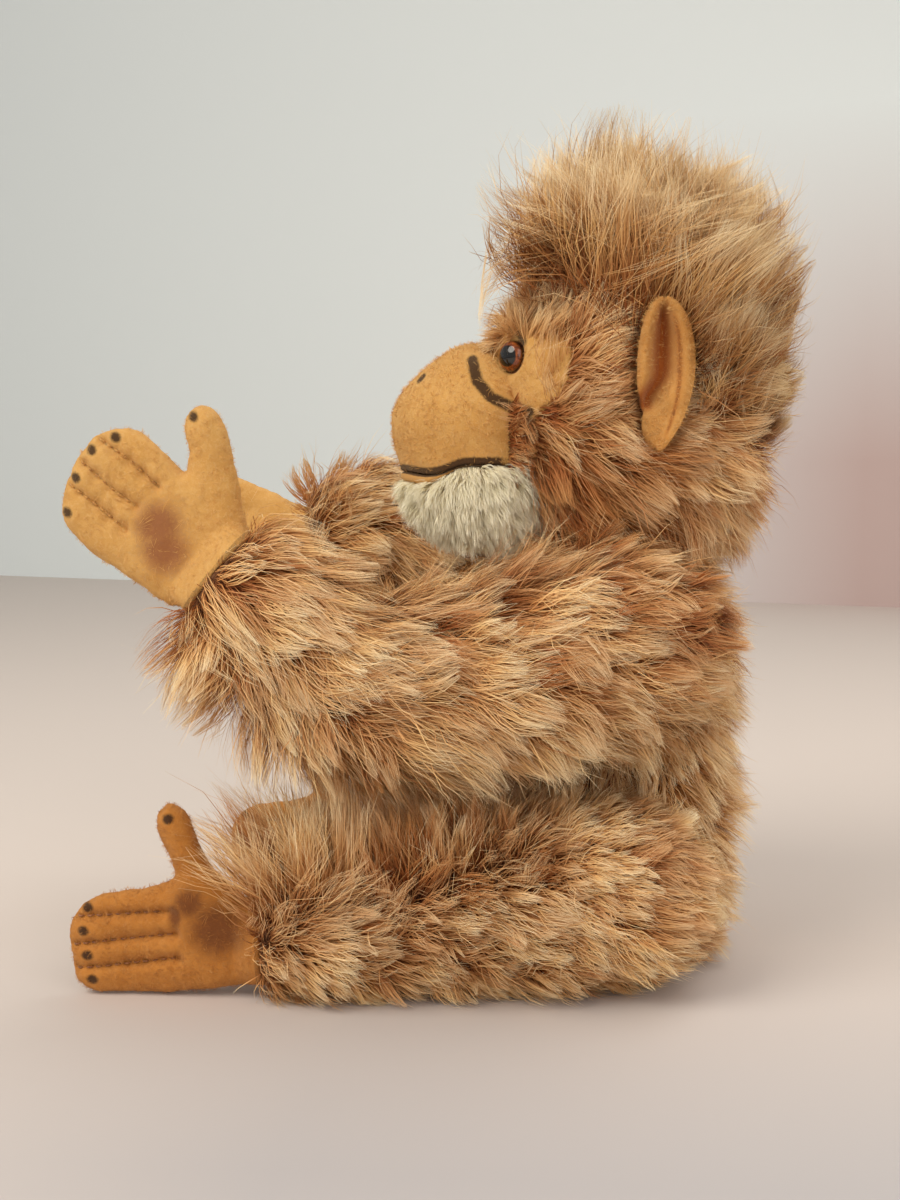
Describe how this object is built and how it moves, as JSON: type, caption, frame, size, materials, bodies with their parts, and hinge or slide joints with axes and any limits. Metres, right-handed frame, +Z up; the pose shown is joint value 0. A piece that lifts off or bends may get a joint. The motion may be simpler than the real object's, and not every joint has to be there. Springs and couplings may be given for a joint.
{
  "type": "stuffed monkey",
  "caption": "Jointed mohair toy ape sitting with its legs forward and arms reaching out, with a felt face, ears, hands and feet and a tall crown of long pile.",
  "frame": {"origin": "middle of the flat seat under the trunk", "axes": "the face looks along -Y, the toy's own left is +X, +Z is up"},
  "size_m": [0.1492, 0.2222, 0.265],
  "materials": {
    "mohair": "matte",
    "crown_mohair": "matte",
    "chin_pile": "matte",
    "felt": "matte",
    "stuffing": "matte",
    "hardboard": "matte",
    "steel_wire": "satin",
    "eye_glass": "gloss"
  },
  "bodies": {
    "trunk": {"torso_cover": "mohair", "torso_stuffing": "stuffing", "neck_pin": "steel_wire", "neck_body_disc": "hardboard", "neck_body_washer": "steel_wire", "shoulder_left_pin": "steel_wire", "shoulder_left_body_disc": "hardboard", "shoulder_left_body_washer": "steel_wire", "shoulder_right_pin": "steel_wire", "shoulder_right_body_disc": "hardboard", "shoulder_right_body_washer": "steel_wire", "hip_left_pin": "steel_wire", "hip_left_body_disc": "hardboard", "hip_left_body_washer": "steel_wire", "hip_right_pin": "steel_wire", "hip_right_body_disc": "hardboard", "hip_right_body_washer": "steel_wire"},
    "head": {"head_cover": "mohair", "head_stuffing": "stuffing", "crown_panel": "crown_mohair", "face_felt": "felt", "muzzle_felt": "felt", "lower_lip_felt": "felt", "chin_patch": "chin_pile", "eye_left": "eye_glass", "eye_right": "eye_glass", "eye_shank_left": "steel_wire", "eye_shank_right": "steel_wire", "ear_left": "felt", "ear_right": "felt", "neck_head_disc": "hardboard", "neck_head_washer": "steel_wire"},
    "arm_left": {"arm_cover_left": "mohair", "arm_stuffing_left": "stuffing", "hand_outer_felt_left": "felt", "hand_inner_felt_left": "felt", "shoulder_left_arm_disc": "hardboard", "shoulder_left_arm_washer": "steel_wire"},
    "leg_left": {"leg_cover_left": "mohair", "leg_stuffing_left": "stuffing", "foot_outer_felt_left": "felt", "foot_inner_felt_left": "felt", "hip_left_leg_disc": "hardboard", "hip_left_leg_washer": "steel_wire"},
    "arm_right": {"arm_cover_right": "mohair", "arm_stuffing_right": "stuffing", "hand_outer_felt_right": "felt", "hand_inner_felt_right": "felt", "shoulder_right_arm_disc": "hardboard", "shoulder_right_arm_washer": "steel_wire"},
    "leg_right": {"leg_cover_right": "mohair", "leg_stuffing_right": "stuffing", "foot_outer_felt_right": "felt", "foot_inner_felt_right": "felt", "hip_right_leg_disc": "hardboard", "hip_right_leg_washer": "steel_wire"}
  },
  "joints": [
    {"name": "neck_turn", "type": "hinge", "parent": "trunk", "child": "head", "pos_m": [0, 0.002, 0.1453], "axis": [0, 0, -1], "range_deg": [-45, 30]},
    {"name": "shoulder_left_swing", "type": "hinge", "parent": "trunk", "child": "arm_left", "pos_m": [0.0303, 0.004, 0.112], "axis": [-1, 0, 0], "range_deg": [-12, 60]},
    {"name": "shoulder_right_swing", "type": "hinge", "parent": "trunk", "child": "arm_right", "pos_m": [-0.0303, 0.004, 0.112], "axis": [1, 0, 0], "range_deg": [-35, 18]},
    {"name": "hip_left_swing", "type": "hinge", "parent": "trunk", "child": "leg_left", "pos_m": [0.0303, 0.002, 0.031], "axis": [-1, 0, 0], "range_deg": [-100, 12]},
    {"name": "hip_right_swing", "type": "hinge", "parent": "trunk", "child": "leg_right", "pos_m": [-0.0303, 0.002, 0.031], "axis": [1, 0, 0], "range_deg": [-12, 100]}
  ]
}
